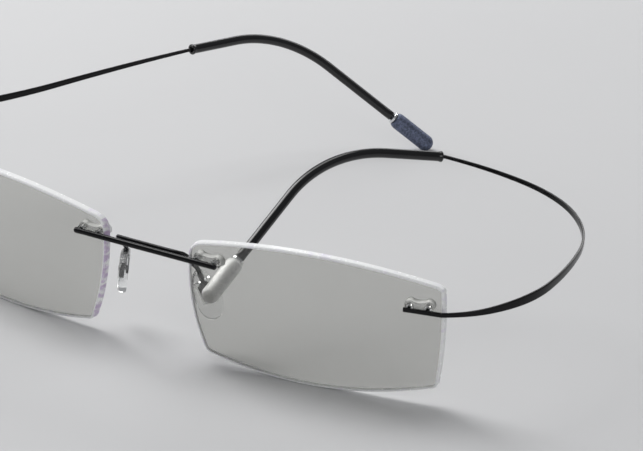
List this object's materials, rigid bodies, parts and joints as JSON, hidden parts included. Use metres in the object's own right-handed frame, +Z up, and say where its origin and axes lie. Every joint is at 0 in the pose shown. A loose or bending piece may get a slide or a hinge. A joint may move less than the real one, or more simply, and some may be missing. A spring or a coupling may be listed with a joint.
{
  "type": "rimless eyeglasses",
  "caption": "Rimless eyeglasses with clear lenses on pins and plugs, a wire bridge with nose pads, and hingeless flexing strip temples with sleeved ear bends and metal tips.",
  "frame": {"origin": "on the table, under the middle of the whole object as it rests on its two lenses and its right temple tip, with the left temple curled up behind its lens", "axes": "+Z up from the table, +X to the wearer's left, -Y the way the glasses look"},
  "size_m": [0.1422, 0.128, 0.0319],
  "materials": {
    "lens": "polished",
    "clear_plastic": "clear gloss",
    "silicone": "clear satin",
    "black_titanium": "gloss",
    "sleeve": "gloss",
    "bright_metal": "polished",
    "brushed_metal": "brushed"
  },
  "bodies": {
    "front": {"lens_left": "lens", "lens_right": "lens", "bridge_plug_left": "clear_plastic", "bridge_plug_right": "clear_plastic", "temple_plug_left": "clear_plastic", "temple_plug_right": "clear_plastic", "bridge_bar": "black_titanium", "pad_arm_bow": "black_titanium", "temple_strip_left_root": "black_titanium", "temple_strip_right_root": "black_titanium"},
    "nose_pad_left_body": {"nose_pad_left": "silicone"},
    "temple_left_length_1": {"temple_strip_left_1": "black_titanium"},
    "temple_left_length_2": {"temple_strip_left_2": "black_titanium"},
    "temple_left_length_3": {"temple_strip_left_3": "black_titanium"},
    "temple_left_ear": {"temple_core_wire_left": "black_titanium", "ear_sleeve_left": "sleeve", "tip_ring_left": "bright_metal", "temple_tip_left": "brushed_metal"},
    "nose_pad_right_body": {"nose_pad_right": "silicone"},
    "temple_right_length_1": {"temple_strip_right_1": "black_titanium"},
    "temple_right_length_2": {"temple_strip_right_2": "black_titanium"},
    "temple_right_length_3": {"temple_strip_right_3": "black_titanium"},
    "temple_right_ear": {"temple_core_wire_right": "black_titanium", "ear_sleeve_right": "sleeve", "tip_ring_right": "bright_metal", "temple_tip_right": "brushed_metal"}
  },
  "joints": [
    {"name": "nose_pad_left_rock", "type": "hinge", "parent": "front", "child": "nose_pad_left_body", "pos_m": [0.0097, -0.05552, 0.0114], "axis": [-0.2542, -0.2772, 0.9266], "range_deg": [-6, 6]},
    {"name": "temple_left_flex_1", "type": "hinge", "parent": "front", "child": "temple_left_length_1", "pos_m": [0.06992, -0.04286, 0.02095], "axis": [0, 0.0941, 0.9956], "range_deg": [-6.03, 0]},
    {"name": "temple_left_flex_2", "type": "hinge", "parent": "temple_left_length_1", "child": "temple_left_length_2", "pos_m": [0.06858, -0.0197, 0.02252], "axis": [0, 0.0941, 0.9956], "range_deg": [-34.37, 0]},
    {"name": "temple_left_flex_3", "type": "hinge", "parent": "temple_left_length_2", "child": "temple_left_length_3", "pos_m": [0.05361, -0.00263, 0.02471], "axis": [0, 0.0941, 0.9956], "range_deg": [-60, 0]},
    {"name": "temple_left_flex_4", "type": "hinge", "parent": "temple_left_length_3", "child": "temple_left_ear", "pos_m": [0.0311, -0.00582, 0.02881], "axis": [0, 0.0941, 0.9956], "range_deg": [-39.8, 0]},
    {"name": "nose_pad_right_rock", "type": "hinge", "parent": "front", "child": "nose_pad_right_body", "pos_m": [-0.0097, -0.05552, 0.0114], "axis": [0.2542, -0.2772, 0.9266], "range_deg": [-6, 6]},
    {"name": "temple_right_flex_1", "type": "hinge", "parent": "front", "child": "temple_right_length_1", "pos_m": [-0.06992, -0.04286, 0.02095], "axis": [0, -0.0941, -0.9956], "range_deg": [-2.57, 6.83]},
    {"name": "temple_right_flex_2", "type": "hinge", "parent": "temple_right_length_1", "child": "temple_right_length_2", "pos_m": [-0.06616, -0.02043, 0.02259], "axis": [0, -0.0941, -0.9956], "range_deg": [-5.79, 15.38]},
    {"name": "temple_right_flex_3", "type": "hinge", "parent": "temple_right_length_2", "child": "temple_right_length_3", "pos_m": [-0.05567, 0.00069, 0.02439], "axis": [0, -0.0941, -0.9956], "range_deg": [-6.4, 17]},
    {"name": "temple_right_flex_4", "type": "hinge", "parent": "temple_right_length_3", "child": "temple_right_ear", "pos_m": [-0.04541, 0.02198, 0.02618], "axis": [0, -0.0941, -0.9956], "range_deg": [-3.86, 10.25]}
  ],
  "couplings": [
    {"joint": "temple_left_flex_1", "follows": "temple_left_flex_3", "ratio": 0.1},
    {"joint": "temple_left_flex_2", "follows": "temple_left_flex_3", "ratio": 0.57},
    {"joint": "temple_left_flex_4", "follows": "temple_left_flex_3", "ratio": 0.66},
    {"joint": "temple_right_flex_1", "follows": "temple_right_flex_3", "ratio": 0.4},
    {"joint": "temple_right_flex_2", "follows": "temple_right_flex_3", "ratio": 0.9},
    {"joint": "temple_right_flex_4", "follows": "temple_right_flex_3", "ratio": 0.6}
  ]
}
